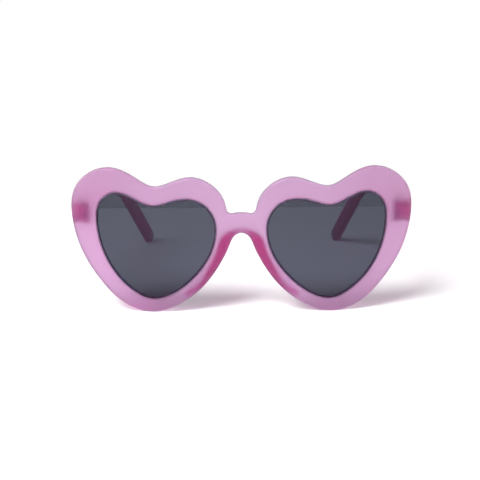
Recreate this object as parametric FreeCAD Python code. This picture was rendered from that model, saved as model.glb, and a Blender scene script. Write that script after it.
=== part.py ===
import FreeCAD, Part
import os
from math import cos, pi, radians, sin, sqrt, tan

Vec = FreeCAD.Vector

# Heart shaped sunglasses, in millimetres: X across, Y from front to back, Z up from the table.
# They stand open, on the two heart tips of the front and on the two ear tips.
# Left and right are the wearer's, so the left lens lies at +X.

# Lens openings
LENS_WIDTH = 49.9
LENS_HEIGHT = 44.8
LENS_GAP = 22.5

# Outline of the left opening, as (share of its width from the nose, share of its height,
# width of the rim outside it in mm), from the bridge over both lobes and round to the nose
HEART = [
    (0.058, 0.850, 8.3),
    (0.213, 0.942, 9.9),
    (0.362, 0.924, 8.1),
    (0.524, 0.879, 8.7),
    (0.717, 0.962, 8.6),
    (0.858, 1.000, 11.3),
    (0.964, 0.923, 12.7),
    (1.000, 0.743, 10.9),
    (0.967, 0.504, 9.3),
    (0.853, 0.245, 7.8),
    (0.697, 0.073, 7.4),
    (0.536, 0.000, 6.3),
    (0.384, 0.045, 5.9),
    (0.196, 0.203, 6.0),
    (0.053, 0.424, 6.1),
    (0.000, 0.649, 0.0),
]
SIDE, TIP = 7, 11

# Front, a plate bowed about an upright axis
FRONT_THICKNESS = 4.0
BOW_RADIUS = 350.0
EDGE_ROUND = 0.9
OPENING_ROUND = 0.4

# Bridge, its upper edge as (distance from the middle, rise above the middle) from the middle out,
# and the arch under it as (half of its width, drop below its top) from the rim in
BRIDGE_DROP = 7.7
BRIDGE_HEIGHT = 8.5
BRIDGE_EDGE = [
    (1.4, -0.05),
    (2.8, -0.20),
    (4.2, -0.45),
    (5.5, 0.10),
    (6.4, 2.20),
]
ARCH = [
    (5.0, 5.1),
    (3.3, 1.7),
]

# Nose saddle with its two pads, moulded behind the nose edge of the front, as (distance down the edge
# from the middle of the arch, width of the saddle, its depth behind the front)
SADDLE = [
    (0.0, 1.3, 2.5),
    (3.5, 2.2, 4.0),
    (7.0, 4.6, 7.5),
    (13.0, 4.0, 9.0),
    (19.5, 3.1, 9.2),
    (26.0, 2.1, 8.2),
    (32.5, 1.3, 5.5),
    (39.0, 0.9, -0.4),
]
SADDLE_INSET = 0.3
SADDLE_ROUND = 0.7
SADDLE_CROWN = 0.5

# Lenses
LENS_THICKNESS = 1.8
LENS_SETBACK = 1.1
LENS_EDGE = 0.8
LENS_CLEARANCE = 0.05

# Temples
TEMPLE_THICKNESS = 3.2
TEMPLE_INSET = 0.1
ROOT_HEIGHT = 9.0
ROOT_FLARE = 34.0
TEMPLE_HEIGHT = 7.0
TEMPLE_STRAIGHT = 77.0
TEMPLE_SLOPE = 2.0
EAR_BEND_RADIUS = 30.0
EAR_DROP = 45.0
INWARD_START = 47.6
INWARD_RADIUS = 100.0
INWARD_ANGLE = 17.0
TEMPLE_ROUND = 1.0
BUTT_GAP = 0.2

# Hinges: two ears on the front, a tongue on the temple, a screw and a nut
HINGE_DROP = 9.0
HINGE_SETBACK = 2.4
KNUCKLE_RADIUS = 1.9
TONGUE_HEIGHT = 3.2
HINGE_CLEARANCE = 0.1
KNUCKLE_GAP = 0.2
EAR_ROOT = 0.8
SCREW_RADIUS = 0.7
HEAD_RADIUS = 1.2
HEAD_HEIGHT = 0.7
SLOT_WIDTH = 0.35
SLOT_DEPTH = 0.35
NUT_ACROSS_FLATS = 2.4
NUT_HEIGHT = 1.0
SEAT_CLEARANCE = 0.02
BORE_CLEARANCE = 0.05

# Places worked out from the sizes above
TIP_RIM = HEART[TIP][2]
SIDE_RIM = HEART[SIDE][2]
LENS_TOP = TIP_RIM + LENS_HEIGHT
BRIDGE_TOP = LENS_TOP - BRIDGE_DROP
ARCH_TOP = BRIDGE_TOP - BRIDGE_HEIGHT
HALF_WIDTH = LENS_GAP / 2 + LENS_WIDTH + SIDE_RIM
BACK_RADIUS = BOW_RADIUS - FRONT_THICKNESS
TEMPLE_X = HALF_WIDTH - TEMPLE_INSET - TEMPLE_THICKNESS / 2
HINGE_X = TEMPLE_X - TEMPLE_THICKNESS / 2 - KNUCKLE_GAP - KNUCKLE_RADIUS
HINGE_Z = LENS_TOP - HINGE_DROP
EAR_GAP = TONGUE_HEIGHT + 2 * HINGE_CLEARANCE
EAR_HEIGHT = (ROOT_HEIGHT - EAR_GAP) / 2
UPPER_EAR = HINGE_Z + EAR_GAP / 2
LOWER_EAR = HINGE_Z - EAR_GAP / 2 - EAR_HEIGHT
HINGE_TOP = UPPER_EAR + EAR_HEIGHT
TALL = LENS_TOP + 50.0
DEEP = 40.0
OUTLINE_EDGES = 6


def bow_y(radius, x):
    """Depth of the bowed surface of a radius at a place across the front."""
    return BOW_RADIUS - sqrt(radius ** 2 - x ** 2)


HINGE_Y = bow_y(BACK_RADIUS, HINGE_X) + HINGE_SETBACK
ROOT_Y = bow_y(BACK_RADIUS, TEMPLE_X + TEMPLE_THICKNESS / 2) + BUTT_GAP


def bow_drum(radius):
    """Upright cylinder about the axis that the front is bowed on."""
    return Part.makeCylinder(radius, 2 * TALL, Vec(0, BOW_RADIUS, -TALL))


def bow_slab(setback, thickness):
    """Bowed layer of the front, from a setback behind its foremost surface."""
    outer = BOW_RADIUS - setback
    return bow_drum(outer).cut(bow_drum(outer - thickness))


def prism(curve):
    """Solid inside a closed upright curve, through the whole depth of the front."""
    span = (curve.LastParameter - curve.FirstParameter) / OUTLINE_EDGES
    starts = [curve.FirstParameter + k * span for k in range(OUTLINE_EDGES)]
    face = Part.Face(Part.Wire([curve.toShape(start, start + span) for start in starts]))
    face.translate(Vec(0, -DEEP / 4, 0))
    return face.extrude(Vec(0, DEEP, 0))


def closed_spline(points):
    curve = Part.BSplineCurve()
    curve.interpolate(Points=points, PeriodicFlag=True)
    return curve


def opening_points():
    left = LENS_GAP / 2
    return [Vec(left + u * LENS_WIDTH, 0, TIP_RIM + v * LENS_HEIGHT) for u, v, _ in HEART]


def moved_out(distances):
    """Points of the opening's outline, each moved out square to the outline by its distance."""
    points = opening_points()
    curve = closed_spline(points)
    moved = []
    for point, distance in zip(points, distances):
        along = curve.tangent(curve.parameter(point))[0]
        moved.append(point + Vec(-along.z, 0, along.x) * distance)
    return moved


def rim_points():
    """Points of the rim's outline round the left opening."""
    return moved_out([width for _, _, width in HEART])


def heart_prism(growth):
    """The left opening's outline, grown all round, as a solid through the front."""
    return prism(closed_spline(moved_out([growth] * len(HEART))))


def mirrored(shape):
    return shape.mirror(Vec(0, 0, 0), Vec(1, 0, 0))


def both_sides(shape):
    return [shape, mirrored(shape)]


def front_outline():
    """Outline of the whole front: bridge, rim of the left heart, nose arch and their mirror."""
    bridge = [Vec(out, 0, BRIDGE_TOP + rise) for out, rise in BRIDGE_EDGE]
    rim = rim_points()[:-1]
    arch = [Vec(half, 0, ARCH_TOP - drop) for half, drop in ARCH]
    left = bridge + rim + arch
    right = [Vec(-p.x, 0, p.z) for p in reversed(left)]
    return closed_spline([Vec(0, 0, BRIDGE_TOP)] + left + [Vec(0, 0, ARCH_TOP)] + right)


def face_edges(plate, by_opening):
    """Edges on the two bowed faces of the plate: those of the openings, or all others."""
    opening = heart_prism(EDGE_ROUND)
    found = []
    for edge in plate.Edges:
        middle = edge.valueAt((edge.FirstParameter + edge.LastParameter) / 2)
        radius = sqrt(middle.x ** 2 + (middle.y - BOW_RADIUS) ** 2)
        on_face = min(abs(radius - BOW_RADIUS), abs(radius - BACK_RADIUS)) < 0.01
        inside = opening.isInside(Vec(abs(middle.x), middle.y, middle.z), 0.01, True)
        if on_face and inside == by_opening:
            found.append(edge)
    return found


def front_plate():
    """Bowed plate with the two openings, and all its edges rounded."""
    plate = prism(front_outline()).cut(both_sides(heart_prism(0))).common(bow_slab(0, FRONT_THICKNESS))
    plate = plate.makeFillet(OPENING_ROUND, face_edges(plate, True))
    return plate.makeFillet(EDGE_ROUND, face_edges(plate, False))


def saddle_section(edge, distance, width, depth):
    """Section of the saddle square to the nose edge: wall by the nose, rounded back, slope to the front."""
    place = edge.parameterAtDistance(-distance, edge.parameter(Vec(0, 0, ARCH_TOP)))
    point, along = edge.value(place), edge.tangent(place)[0]
    inward = Vec(along.z, 0, -along.x)

    def at(inset, setback):
        return point + inward * (SADDLE_INSET + inset) + Vec(0, bow_y(BOW_RADIUS, point.x) + setback, 0)

    root, back = FRONT_THICKNESS / 2, FRONT_THICKNESS + depth
    bevel = SADDLE_ROUND * (1 - sqrt(0.5))
    corners = at(0, root), at(0, back - SADDLE_ROUND), at(SADDLE_ROUND, back), at(width, root)
    slope_middle = (corners[2] + corners[3]) / 2 + inward * SADDLE_CROWN
    return Part.Wire([
        Part.makeLine(corners[0], corners[1]),
        Part.Arc(corners[1], at(bevel, back - bevel), corners[2]).toShape(),
        Part.Arc(corners[2], slope_middle, corners[3]).toShape(),
        Part.makeLine(corners[3], corners[0]),
    ])


def nose_saddle():
    """Left half of the saddle, from the middle of the arch down to the lower rim."""
    edge = front_outline()
    return Part.makeLoft([saddle_section(edge, *row) for row in SADDLE], True, False)


def hinge_ear(bottom):
    """Ear of the left hinge, from the back of the front to the round about the axis."""
    start = bow_y(BACK_RADIUS, HINGE_X) - EAR_ROOT
    arm = Part.makeBox(2 * KNUCKLE_RADIUS, HINGE_Y - start, EAR_HEIGHT,
                       Vec(HINGE_X - KNUCKLE_RADIUS, start, bottom))
    return arm.fuse(hinge_rod(KNUCKLE_RADIUS, bottom, EAR_HEIGHT))


def hinge_rod(radius, bottom, height):
    return Part.makeCylinder(radius, height, Vec(HINGE_X, HINGE_Y, bottom))


def hexagon(across_flats, bottom, height):
    corner = across_flats / sqrt(3)
    points = [Vec(HINGE_X + corner * cos(k * pi / 3), HINGE_Y + corner * sin(k * pi / 3), bottom)
              for k in range(7)]
    return Part.Face(Part.makePolygon(points)).extrude(Vec(0, 0, height))


def hinge_holes():
    """Screw hole, head seat and nut pocket in the left ears."""
    hole = hinge_rod(SCREW_RADIUS + SEAT_CLEARANCE, LOWER_EAR, HINGE_TOP - LOWER_EAR)
    seat = hinge_rod(HEAD_RADIUS + SEAT_CLEARANCE, HINGE_TOP - HEAD_HEIGHT, HEAD_HEIGHT)
    pocket = hexagon(NUT_ACROSS_FLATS + 2 * SEAT_CLEARANCE, LOWER_EAR, NUT_HEIGHT)
    return hole.fuse([seat, pocket])


def front_frame():
    """Front moulded in one piece: plate, bridge, nose saddle and hinge ears."""
    ears = hinge_ear(UPPER_EAR).fuse(hinge_ear(LOWER_EAR)).cut(hinge_holes())
    groove_layer = bow_slab(LENS_SETBACK - LENS_CLEARANCE, LENS_THICKNESS + 2 * LENS_CLEARANCE)
    groove = heart_prism(LENS_EDGE + LENS_CLEARANCE).common(groove_layer)
    front = front_plate().fuse(both_sides(nose_saddle()) + both_sides(ears))
    return front.cut(both_sides(groove))


def lens():
    """Left lens, bowed like the front, with its edge in the groove."""
    return heart_prism(LENS_EDGE).common(bow_slab(LENS_SETBACK, LENS_THICKNESS))


def temple_path():
    """Side view of the temple's centre line: bend centre and tip centre, as (y, z)."""
    slope, drop = radians(TEMPLE_SLOPE), radians(EAR_DROP)
    bend = (ROOT_Y + TEMPLE_STRAIGHT - EAR_BEND_RADIUS * sin(slope),
            HINGE_Z - TEMPLE_STRAIGHT * tan(slope) - EAR_BEND_RADIUS * cos(slope))
    tip_z = TEMPLE_HEIGHT / 2
    hook = (bend[1] + EAR_BEND_RADIUS * cos(drop) - tip_z) / sin(drop)
    return bend, (bend[0] + EAR_BEND_RADIUS * sin(drop) + hook * cos(drop), tip_z)


def root_edges(bend_point, root_z):
    """Straight edge of the temple from the ear bend forward, and its flare to the root."""
    slope = tan(radians(TEMPLE_SLOPE))
    flare = Vec(0, ROOT_Y + ROOT_FLARE, bend_point.z + (bend_point.y - ROOT_Y - ROOT_FLARE) * slope)
    middle = Vec(0, ROOT_Y + ROOT_FLARE / 2, (root_z + 3 * flare.z + ROOT_FLARE * slope) / 4)
    root = Vec(0, ROOT_Y, root_z)
    return [Part.makeLine(bend_point, flare), Part.Arc(flare, middle, root).toShape()]


def temple_profile():
    """Side view of the left temple, as a solid across half the front."""
    def at(centre, radius, angle):
        return Vec(0, centre[0] + radius * cos(radians(angle)), centre[1] + radius * sin(radians(angle)))

    def arc(centre, radius, first, last):
        return Part.Arc(at(centre, radius, first), at(centre, radius, (first + last) / 2),
                        at(centre, radius, last)).toShape()

    bend, tip = temple_path()
    half = TEMPLE_HEIGHT / 2
    start, end = 90 - TEMPLE_SLOPE, 90 - EAR_DROP
    outside, inside = EAR_BEND_RADIUS + half, EAR_BEND_RADIUS - half
    upper_root, lower_root = HINGE_Z + ROOT_HEIGHT / 2, HINGE_Z - ROOT_HEIGHT / 2
    edges = [arc(bend, outside, start, end), arc(tip, half, end, end - 180), arc(bend, inside, end, start),
             Part.makeLine(at(bend, outside, end), at(tip, half, end)),
             Part.makeLine(at(tip, half, end - 180), at(bend, inside, end)),
             Part.makeLine(Vec(0, ROOT_Y, lower_root), Vec(0, ROOT_Y, upper_root))]
    edges += root_edges(at(bend, outside, start), upper_root)
    edges += root_edges(at(bend, inside, start), lower_root)
    face = Part.Face(Part.Wire(Part.__sortEdges__(edges)))
    return face.extrude(Vec(2 * HALF_WIDTH, 0, 0))


def temple_plan():
    """Top view of the left temple, as a solid through its whole height."""
    turn = radians(INWARD_ANGLE)
    bend_x, bend_y = TEMPLE_X - INWARD_RADIUS, ROOT_Y + INWARD_START
    reach = 2 * TEMPLE_STRAIGHT

    def rail(radius):
        def at(angle):
            return Vec(bend_x + radius * cos(angle), bend_y + radius * sin(angle), -TALL)
        last = at(turn) + Vec(-sin(turn), cos(turn), 0) * reach
        first = Vec(bend_x + radius, ROOT_Y - FRONT_THICKNESS, -TALL)
        lines = [Part.makeLine(first, at(0)), Part.makeLine(at(turn), last)]
        return first, last, lines + [Part.Arc(at(0), at(turn / 2), at(turn)).toShape()]

    outer_first, outer_last, outer = rail(INWARD_RADIUS + TEMPLE_THICKNESS / 2)
    inner_first, inner_last, inner = rail(INWARD_RADIUS - TEMPLE_THICKNESS / 2)
    ends = [Part.makeLine(outer_first, inner_first), Part.makeLine(outer_last, inner_last)]
    face = Part.Face(Part.Wire(Part.__sortEdges__(outer + inner + ends)))
    return face.extrude(Vec(0, 0, 2 * TALL))


def temple():
    """Left temple with its ear hook, and the tongue that turns on the hinge screw."""
    bar = temple_profile().common(temple_plan())
    long_edges = [edge for edge in bar.Edges if edge.BoundBox.YMax > ROOT_Y + TEMPLE_ROUND]
    bar = bar.makeFillet(TEMPLE_ROUND, long_edges)
    bottom = HINGE_Z - TONGUE_HEIGHT / 2
    neck = Part.makeBox(TEMPLE_X - HINGE_X, HINGE_Y + KNUCKLE_RADIUS - ROOT_Y, TONGUE_HEIGHT,
                        Vec(HINGE_X, ROOT_Y, bottom))
    tongue = neck.fuse(hinge_rod(KNUCKLE_RADIUS, bottom, TONGUE_HEIGHT))
    return bar.fuse(tongue).cut(hinge_rod(SCREW_RADIUS + BORE_CLEARANCE, bottom, TONGUE_HEIGHT))


def hinge_screw():
    """Screw of the left hinge, slotted, with its head sunk in the upper ear."""
    shank = hinge_rod(SCREW_RADIUS, LOWER_EAR, HINGE_TOP - LOWER_EAR)
    head = hinge_rod(HEAD_RADIUS, HINGE_TOP - HEAD_HEIGHT, HEAD_HEIGHT)
    slot = Part.makeBox(2 * HEAD_RADIUS, SLOT_WIDTH, SLOT_DEPTH,
                        Vec(HINGE_X - HEAD_RADIUS, HINGE_Y - SLOT_WIDTH / 2, HINGE_TOP - SLOT_DEPTH))
    return shank.fuse(head).cut(slot)


def hinge_nut():
    """Hexagon nut of the left hinge, in the pocket under the lower ear."""
    return hexagon(NUT_ACROSS_FLATS, LOWER_EAR, NUT_HEIGHT).cut(
        hinge_rod(SCREW_RADIUS + SEAT_CLEARANCE, LOWER_EAR, NUT_HEIGHT))


def save(name, shape, shift):
    solid = shape.removeSplitter()
    solid.translate(shift)
    solid.exportStep("parts/" + name + ".step")
    print(name, "solids", len(solid.Solids), "valid", solid.isValid(), "volume %.1f" % solid.Volume)


def main():
    os.makedirs("parts", exist_ok=True)
    depth = temple_path()[1][0] + TEMPLE_HEIGHT / 2
    shift = Vec(0, -depth / 2, 0)
    save("front_frame", front_frame(), shift)
    pairs = (("lens", lens), ("temple", temple), ("hinge_screw", hinge_screw), ("hinge_nut", hinge_nut))
    for name, make in pairs:
        left = make()
        save(name + "_left", left, shift)
        save(name + "_right", mirrored(left), shift)
    print("hinge axis x %.3f y %.3f z %.3f, depth %.3f" % (HINGE_X, HINGE_Y + shift.y, HINGE_Z, depth))


main()
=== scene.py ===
from math import radians

import bpy
from mathutils import Matrix, Vector


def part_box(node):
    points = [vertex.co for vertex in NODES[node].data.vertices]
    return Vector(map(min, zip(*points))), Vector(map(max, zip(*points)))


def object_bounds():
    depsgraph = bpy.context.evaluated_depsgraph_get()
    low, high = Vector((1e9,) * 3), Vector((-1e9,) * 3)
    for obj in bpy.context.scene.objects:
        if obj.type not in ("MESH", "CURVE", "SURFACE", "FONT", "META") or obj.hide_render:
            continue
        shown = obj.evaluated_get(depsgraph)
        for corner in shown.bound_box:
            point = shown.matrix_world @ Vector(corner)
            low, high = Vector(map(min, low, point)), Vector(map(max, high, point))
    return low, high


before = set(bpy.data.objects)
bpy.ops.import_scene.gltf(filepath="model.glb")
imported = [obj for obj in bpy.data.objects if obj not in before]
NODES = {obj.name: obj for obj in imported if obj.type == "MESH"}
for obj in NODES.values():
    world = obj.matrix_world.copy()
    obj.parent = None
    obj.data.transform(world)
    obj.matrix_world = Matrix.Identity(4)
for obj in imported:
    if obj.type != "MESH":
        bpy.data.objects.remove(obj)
CAD_LOW, CAD_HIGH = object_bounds()

# Camera: in front of the glasses, looking down a little, in metres and degrees
CAMERA_BEFORE_FRONT = 0.440
CAMERA_HEIGHT = 0.1336
CAMERA_ASIDE = 0.0017
CAMERA_DOWN = 13.0
CAMERA_TURN = 0.3
CAMERA_ROLL = -0.48
CAMERA_LENS_MM = 80.4

# Light: one soft lamp from the upper left in front, and an even sky with a level for each kind of ray
LAMP_DIRECTION = Vector((-0.40, -0.59, 0.76))
LAMP_DISTANCE = 1.1
LAMP_SIZE = 0.63
LAMP_WATTS = 18.9
SKY_COLOUR = (1.0, 1.0, 1.0, 1.0)
SKY_LEVEL = 0.35
SKY_BEHIND_GLASS = 0.85
SKY_TO_CAMERA = 1.0

# Floor: pale, ending a little behind the ear tips, with a faint glow of its own where it is looked at
FLOOR_REACH = 0.5
FLOOR_BEHIND_TIPS = 0.092
FLOOR_COLOUR = (0.86, 0.86, 0.86, 1.0)
FLOOR_GLOW = 0.12

# Front: its bow, the plate's thickness and the depth of the lip before each lens
BOW_RADIUS = 0.350
PLATE_DEPTH = 0.004
LIP_DEPTH = 0.0012

# Bevel of the lip: painted shade, dark where the share of its normal along Y is below the turn. A face
# whose share along Z is below the last value faces down, and has a turn of its own
BEVEL_SLOT = 1
BEVEL_TURN = 0.85
BEVEL_TURN_DOWN = 0.75
BEVEL_DOWN = -0.35

# Painted shade on the nose saddle: how far to each side it is looked for, the depth behind the plate
# at which its deeper colour is full, and the distances from the middle of the arch where that colour
# starts and is full
SADDLE_REACH = 0.030
SADDLE_FADE = 0.002
ARCH_START = 0.001
ARCH_FULL = 0.004

# Painted shade on the rim of the plate: the shares of its normal along Y where its darker colour
# starts and is full, and the share along Z below which it faces down and stays pale
RIM_START = 0.60
RIM_FULL = 0.20
RIM_DOWN = -0.50

# Noise: its usual detail, and the range that most of its values lie in
NOISE_DETAIL = 3.0
NOISE_RANGE = 0.3, 0.7

# Milky plastic: its clouds run between two colours and two roughnesses, and its polish has fine bumps
PLASTIC = {
    "IOR": 1.40,
    "Specular Tint": (1.0, 0.6, 0.9, 1.0),
    "Transmission Weight": 1.0,
    "Coat Weight": 0.15,
    "Coat Roughness": 0.12,
}
PLASTIC_INSIDE = {"Color": (0.94, 0.14, 0.588, 1.0), "Density": 250.0}
CLOUD_SCALE = 60.0
CLOUD_ROUGHNESS = 0.75, 0.85
FRONT_CLOUDS = (0.72, 0.97, 0.97, 1.0), (0.76, 0.99, 0.99, 1.0)
# The temples' clouds are darker and deeper pink than the front's: random tone with painted shade
TEMPLE_CLOUDS_AND_SHADE = (0.72, 0.66, 0.80, 1.0), (0.76, 0.70, 0.84, 1.0)
# Painted shade: darker, greyer colour on the plate's turned rim
RIM_SHADE_COLOUR = (0.42, 0.39, 0.47, 1.0)
# Painted shade: deeper pink on the nose saddle, standing in for the long path of light through it
SADDLE_SHADE_COLOUR = (0.62, 0.19, 0.62, 1.0)
POLISH_SCALE = 900.0
POLISH_BUMP = {"Strength": 0.03, "Distance": 0.0001}

# Smoke lens: nearly clear outside, dark inside, with faint wiping marks
LENS = {
    "IOR": 1.50,
    "Specular Tint": (0.3, 0.3, 0.3, 1.0),
    "Transmission Weight": 1.0,
}
LENS_INSIDE = {"Color": (0.062, 0.083, 0.204, 1.0), "Density": 1500.0}
LENS_SCALE = 30.0
LENS_COLOURS = (0.96, 0.97, 0.98, 1.0), (1.0, 1.0, 1.0, 1.0)
WIPE_SCALE = 45.0
WIPE_DETAIL = 6.0
WIPE_ROUGHNESS = 0.0, 0.03

# Turned steel of the screws and nuts
STEEL = {"Metallic": 1.0, "Anisotropic": 0.4}
STEEL_SCALE = 2500.0
STEEL_COLOURS = (0.55, 0.55, 0.57, 1.0), (0.68, 0.68, 0.70, 1.0)
TURNING_SCALE = 4000.0
TURNING_ROUGHNESS = 0.22, 0.38
MARK_SCALE = 9000.0
MARK_BUMP = {"Strength": 0.15, "Distance": 0.00002}

# Painted shade: near-black plastic colour on the bevel of the lip round each lens
SHADE = {"Specular IOR Level": 0.15}
SHADE_SCALE = 300.0
PAINTED_SHADE_COLOURS = (0.020, 0.006, 0.020, 1.0), (0.035, 0.010, 0.035, 1.0)
SHADE_ROUGH_SCALE = 200.0
SHADE_ROUGHNESS = 0.35, 0.5

# Places of the colour sockets on a mix node
MIX_FIRST, MIX_SECOND, MIX_RESULT = 6, 7, 2


class Nodes:
    """Shorthand for building one node tree."""

    def __init__(self, tree):
        self.tree = tree
        tree.nodes.clear()

    def add(self, kind, inputs=None, **settings):
        """New node with its settings and the values of its inputs."""
        node = self.tree.nodes.new(kind)
        for name, value in settings.items():
            setattr(node, name, value)
        for name, value in (inputs or {}).items():
            node.inputs[name].default_value = value
        return node

    def link(self, source, target):
        self.tree.links.new(source, target)

    def feed(self, value, target):
        """Links a socket to an input, or sets the input to a number or colour."""
        if isinstance(value, bpy.types.NodeSocket):
            self.link(value, target)
        else:
            target.default_value = value


def new_material(name):
    material = bpy.data.materials.new(name)
    material.use_nodes = True
    return material, Nodes(material.node_tree)


def end_material(nodes, shader, inside=None):
    """Gives a material its surface and, where light passes through it, what its inside absorbs."""
    out = nodes.add("ShaderNodeOutputMaterial")
    nodes.link(shader.outputs[0], out.inputs["Surface"])
    if inside:
        absorption = nodes.add("ShaderNodeVolumeAbsorption", inside)
        nodes.link(absorption.outputs["Volume"], out.inputs["Volume"])


def maths(nodes, operation, first, second=0.0):
    """Result of an operation on two values, each a number or a socket."""
    node = nodes.add("ShaderNodeMath", operation=operation)
    nodes.feed(first, node.inputs[0])
    nodes.feed(second, node.inputs[1])
    return node.outputs["Value"]


def map_range(nodes, value, start, end, low=0.0, high=1.0):
    """Value mapped to run from low at the start to high at the end."""
    limits = {"From Min": start, "From Max": end, "To Min": low, "To Max": high}
    mapped = nodes.add("ShaderNodeMapRange", limits)
    nodes.link(value, mapped.inputs["Value"])
    return mapped.outputs["Result"]


def mixed_level(nodes, factor, first, second):
    """Number from the first to the second, by a factor from 0 to 1."""
    mix = nodes.add("ShaderNodeMix", data_type="FLOAT")
    nodes.link(factor, mix.inputs["Factor"])
    nodes.feed(first, mix.inputs["A"])
    nodes.feed(second, mix.inputs["B"])
    return mix.outputs["Result"]


def mixed_colour(nodes, factor, first, second):
    """Colour from the first to the second, by a factor from 0 to 1."""
    mix = nodes.add("ShaderNodeMix", data_type="RGBA")
    nodes.link(factor, mix.inputs["Factor"])
    nodes.feed(first, mix.inputs[MIX_FIRST])
    nodes.feed(second, mix.inputs[MIX_SECOND])
    return mix.outputs[MIX_RESULT]


def noise(nodes, scale, detail=NOISE_DETAIL):
    """Noise in the object's own coordinates, as a value between 0 and 1."""
    place = nodes.add("ShaderNodeTexCoord")
    texture = nodes.add("ShaderNodeTexNoise", {"Scale": scale, "Detail": detail})
    nodes.link(place.outputs["Object"], texture.inputs["Vector"])
    return texture.outputs["Fac"]


def clouds(nodes, scale, colours):
    """Colour that wanders between two colours."""
    return mixed_colour(nodes, noise(nodes, scale), *colours)


def set_roughness(nodes, shader, scale, limits, detail=NOISE_DETAIL):
    """Gives a shader a roughness that wanders between two limits."""
    rough = map_range(nodes, noise(nodes, scale, detail), *NOISE_RANGE, *limits)
    nodes.link(rough, shader.inputs["Roughness"])


def set_bump(nodes, normal, scale, size):
    """Gives a normal socket fine bumps."""
    bump = nodes.add("ShaderNodeBump", size)
    nodes.link(noise(nodes, scale), bump.inputs["Height"])
    nodes.link(bump.outputs["Normal"], normal)


def object_axes(nodes, output):
    """The three axes of an object's own place or normal."""
    place = nodes.add("ShaderNodeTexCoord")
    parts = nodes.add("ShaderNodeSeparateXYZ")
    nodes.link(place.outputs[output], parts.inputs["Vector"])
    return parts.outputs["X"], parts.outputs["Y"], parts.outputs["Z"]


def plate_depth(nodes):
    """How far a point lies behind the bowed plate of the front, from 0 to 1."""
    across, back, _ = object_axes(nodes, "Object")
    bow = maths(nodes, "DIVIDE", maths(nodes, "MULTIPLY", across, across), 2 * BOW_RADIUS)
    plate_back = CAD_LOW.y + PLATE_DEPTH
    return map_range(nodes, maths(nodes, "SUBTRACT", back, bow), plate_back, plate_back + SADDLE_FADE)


def saddle_shade_depth(nodes):
    """How far a point of the nose saddle lies behind the plate, from 0 to 1: the mask of its painted
    shade.
    """
    across, _, _ = object_axes(nodes, "Object")
    aside = maths(nodes, "ABSOLUTE", across)
    near = maths(nodes, "LESS_THAN", aside, SADDLE_REACH)
    beside_arch = maths(nodes, "MULTIPLY", near, map_range(nodes, aside, ARCH_START, ARCH_FULL))
    return maths(nodes, "MULTIPLY", plate_depth(nodes), beside_arch)


def rim_shade_turn(nodes):
    """How far the plate's face has turned to its rim, from 0 to 1: the mask of the painted shade
    there.
    """
    _, back, up = object_axes(nodes, "Normal")
    turned = map_range(nodes, maths(nodes, "ABSOLUTE", back), RIM_START, RIM_FULL)
    not_under = maths(nodes, "MULTIPLY", turned, maths(nodes, "GREATER_THAN", up, RIM_DOWN))
    on_plate = maths(nodes, "SUBTRACT", 1.0, plate_depth(nodes))
    return maths(nodes, "MULTIPLY", not_under, on_plate)


def front_clouds_and_shade(nodes):
    """Cloudy, with painted shade: darker and greyer on the plate's rim, and deepest pink on the nose
    saddle.
    """
    cloudy = clouds(nodes, CLOUD_SCALE, FRONT_CLOUDS)
    rim_shaded = mixed_colour(nodes, rim_shade_turn(nodes), cloudy, RIM_SHADE_COLOUR)
    return mixed_colour(nodes, saddle_shade_depth(nodes), rim_shaded, SADDLE_SHADE_COLOUR)


# Cloudy colour of the temples, tinted darker than the front's as painted shade
def temple_shaded_clouds(nodes):
    return clouds(nodes, CLOUD_SCALE, TEMPLE_CLOUDS_AND_SHADE)


def milky_plastic(name, tint):
    """Translucent pink plastic, cloudy inside and polished outside."""
    material, nodes = new_material(name)
    shader = nodes.add("ShaderNodeBsdfPrincipled", PLASTIC)
    nodes.link(tint(nodes), shader.inputs["Base Color"])
    set_roughness(nodes, shader, CLOUD_SCALE, CLOUD_ROUGHNESS)
    set_bump(nodes, shader.inputs["Coat Normal"], POLISH_SCALE, POLISH_BUMP)
    end_material(nodes, shader, PLASTIC_INSIDE)
    return material


def smoke_lens():
    """Clear grey lens with a polished face and faint wiping marks."""
    material, nodes = new_material("smoke_lens")
    shader = nodes.add("ShaderNodeBsdfPrincipled", LENS)
    nodes.link(clouds(nodes, LENS_SCALE, LENS_COLOURS), shader.inputs["Base Color"])
    set_roughness(nodes, shader, WIPE_SCALE, WIPE_ROUGHNESS, WIPE_DETAIL)
    end_material(nodes, shader, LENS_INSIDE)
    return material


def turned_steel():
    """Bright steel with fine turning marks."""
    material, nodes = new_material("turned_steel")
    shader = nodes.add("ShaderNodeBsdfPrincipled", STEEL)
    nodes.link(clouds(nodes, STEEL_SCALE, STEEL_COLOURS), shader.inputs["Base Color"])
    set_roughness(nodes, shader, TURNING_SCALE, TURNING_ROUGHNESS)
    set_bump(nodes, shader.inputs["Normal"], MARK_SCALE, MARK_BUMP)
    end_material(nodes, shader)
    return material


def painted_shade_bevel():
    """The front's plastic where it turns in to the lens edge, painted near black as shade."""
    material, nodes = new_material("painted_shade_bevel")
    shader = nodes.add("ShaderNodeBsdfPrincipled", SHADE)
    nodes.link(clouds(nodes, SHADE_SCALE, PAINTED_SHADE_COLOURS), shader.inputs["Base Color"])
    set_roughness(nodes, shader, SHADE_ROUGH_SCALE, SHADE_ROUGHNESS)
    end_material(nodes, shader)
    return material


def dress(material, names):
    """Gives CAD nodes their material."""
    for name in names:
        mesh = NODES[name].data
        mesh.materials.clear()
        mesh.materials.append(material)


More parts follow.
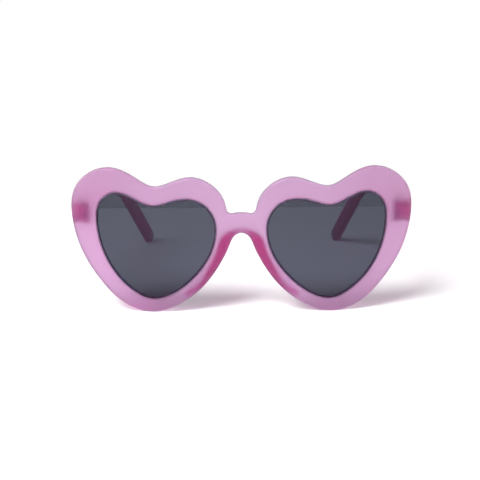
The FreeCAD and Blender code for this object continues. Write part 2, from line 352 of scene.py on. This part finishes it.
def line_opening(lens):
    """Gives the front's bevel round a lens, between its face and that lens, the material of painted
    shade.
    """
    front = NODES["front_frame"]
    low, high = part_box(lens)
    middle = (low + high) / 2
    for face in front.data.polygons:
        place = front.matrix_world @ face.center
        normal = face.normal
        inside = low.x < place.x < high.x and low.z < place.z < high.z
        ahead = place.y - place.x ** 2 / (2 * BOW_RADIUS) < CAD_LOW.y + LIP_DEPTH
        inward = (middle - place).dot(Vector((normal.x, 0, normal.z))) > 0
        turn = BEVEL_TURN if normal.z > BEVEL_DOWN else BEVEL_TURN_DOWN
        if inside and ahead and inward and abs(normal.y) < turn:
            face.material_index = BEVEL_SLOT


def ray_kinds(nodes):
    """Two values: 1 for the camera's own rays, and 1 for rays seen in gloss or through glass."""
    path = nodes.add("ShaderNodeLightPath")
    glass = maths(nodes, "MAXIMUM", path.outputs["Is Glossy Ray"], path.outputs["Is Transmission Ray"])
    return path.outputs["Is Camera Ray"], glass


def pale_floor():
    """Matt floor that glows faintly to the camera, in gloss and through glass."""
    material, nodes = new_material("pale_floor")
    paint = nodes.add("ShaderNodeBsdfDiffuse", {"Color": FLOOR_COLOUR})
    glow = nodes.add("ShaderNodeEmission")
    looked_at = maths(nodes, "MAXIMUM", *ray_kinds(nodes))
    nodes.link(maths(nodes, "MULTIPLY", looked_at, FLOOR_GLOW), glow.inputs["Strength"])
    both = nodes.add("ShaderNodeAddShader")
    nodes.link(paint.outputs["BSDF"], both.inputs[0])
    nodes.link(glow.outputs["Emission"], both.inputs[1])
    end_material(nodes, both)
    return material


def make_floor():
    back = CAD_HIGH.y + FLOOR_BEHIND_TIPS
    corners = [
        (-FLOOR_REACH, -FLOOR_REACH, 0),
        (FLOOR_REACH, -FLOOR_REACH, 0),
        (FLOOR_REACH, back, 0),
        (-FLOOR_REACH, back, 0),
    ]
    mesh = bpy.data.meshes.new("floor")
    mesh.from_pydata(corners, [], [(0, 1, 2, 3)])
    mesh.materials.append(pale_floor())
    floor = bpy.data.objects.new("floor", mesh)
    bpy.context.collection.objects.link(floor)


def make_sky():
    """Even sky, white to the camera and a little darker behind glass."""
    world = bpy.data.worlds.new("sky")
    bpy.context.scene.world = world
    world.use_nodes = True
    nodes = Nodes(world.node_tree)
    sky = nodes.add("ShaderNodeBackground", {"Color": SKY_COLOUR})
    camera_ray, glass_ray = ray_kinds(nodes)
    unseen = mixed_level(nodes, glass_ray, SKY_LEVEL, SKY_BEHIND_GLASS)
    nodes.link(mixed_level(nodes, camera_ray, unseen, SKY_TO_CAMERA), sky.inputs["Strength"])
    out = nodes.add("ShaderNodeOutputWorld")
    nodes.link(sky.outputs["Background"], out.inputs["Surface"])


def make_lamp():
    lamp = bpy.data.lights.new("key", "AREA")
    lamp.shape = "DISK"
    lamp.size = LAMP_SIZE
    lamp.energy = LAMP_WATTS
    key = bpy.data.objects.new("key", lamp)
    aim = (CAD_LOW + CAD_HIGH) / 2
    key.location = aim + LAMP_DIRECTION.normalized() * LAMP_DISTANCE
    key.rotation_euler = LAMP_DIRECTION.to_track_quat("Z", "Y").to_euler()
    bpy.context.collection.objects.link(key)


def make_camera():
    data = bpy.data.cameras.new("camera")
    data.lens = CAMERA_LENS_MM
    data.dof.use_dof = False
    camera = bpy.data.objects.new("camera", data)
    place = Matrix.Translation((CAMERA_ASIDE, CAD_LOW.y - CAMERA_BEFORE_FRONT, CAMERA_HEIGHT))
    turn = Matrix.Rotation(radians(CAMERA_TURN), 4, "Z")
    tilt = Matrix.Rotation(radians(90.0 - CAMERA_DOWN), 4, "X")
    roll = Matrix.Rotation(radians(CAMERA_ROLL), 4, "Z")
    camera.matrix_world = place @ turn @ tilt @ roll
    bpy.context.collection.objects.link(camera)
    bpy.context.scene.camera = camera


dress(milky_plastic("milky_front", front_clouds_and_shade), ["front_frame"])
dress(milky_plastic("milky_temple", temple_shaded_clouds), ["temple_left", "temple_right"])
dress(smoke_lens(), ["lens_left", "lens_right"])
dress(turned_steel(), ["hinge_screw_left", "hinge_screw_right", "hinge_nut_left", "hinge_nut_right"])
NODES["front_frame"].data.materials.append(painted_shade_bevel())
line_opening("lens_left")
line_opening("lens_right")
make_floor()
make_sky()
make_lamp()
make_camera()
bpy.context.scene.view_settings.view_transform = "Standard"
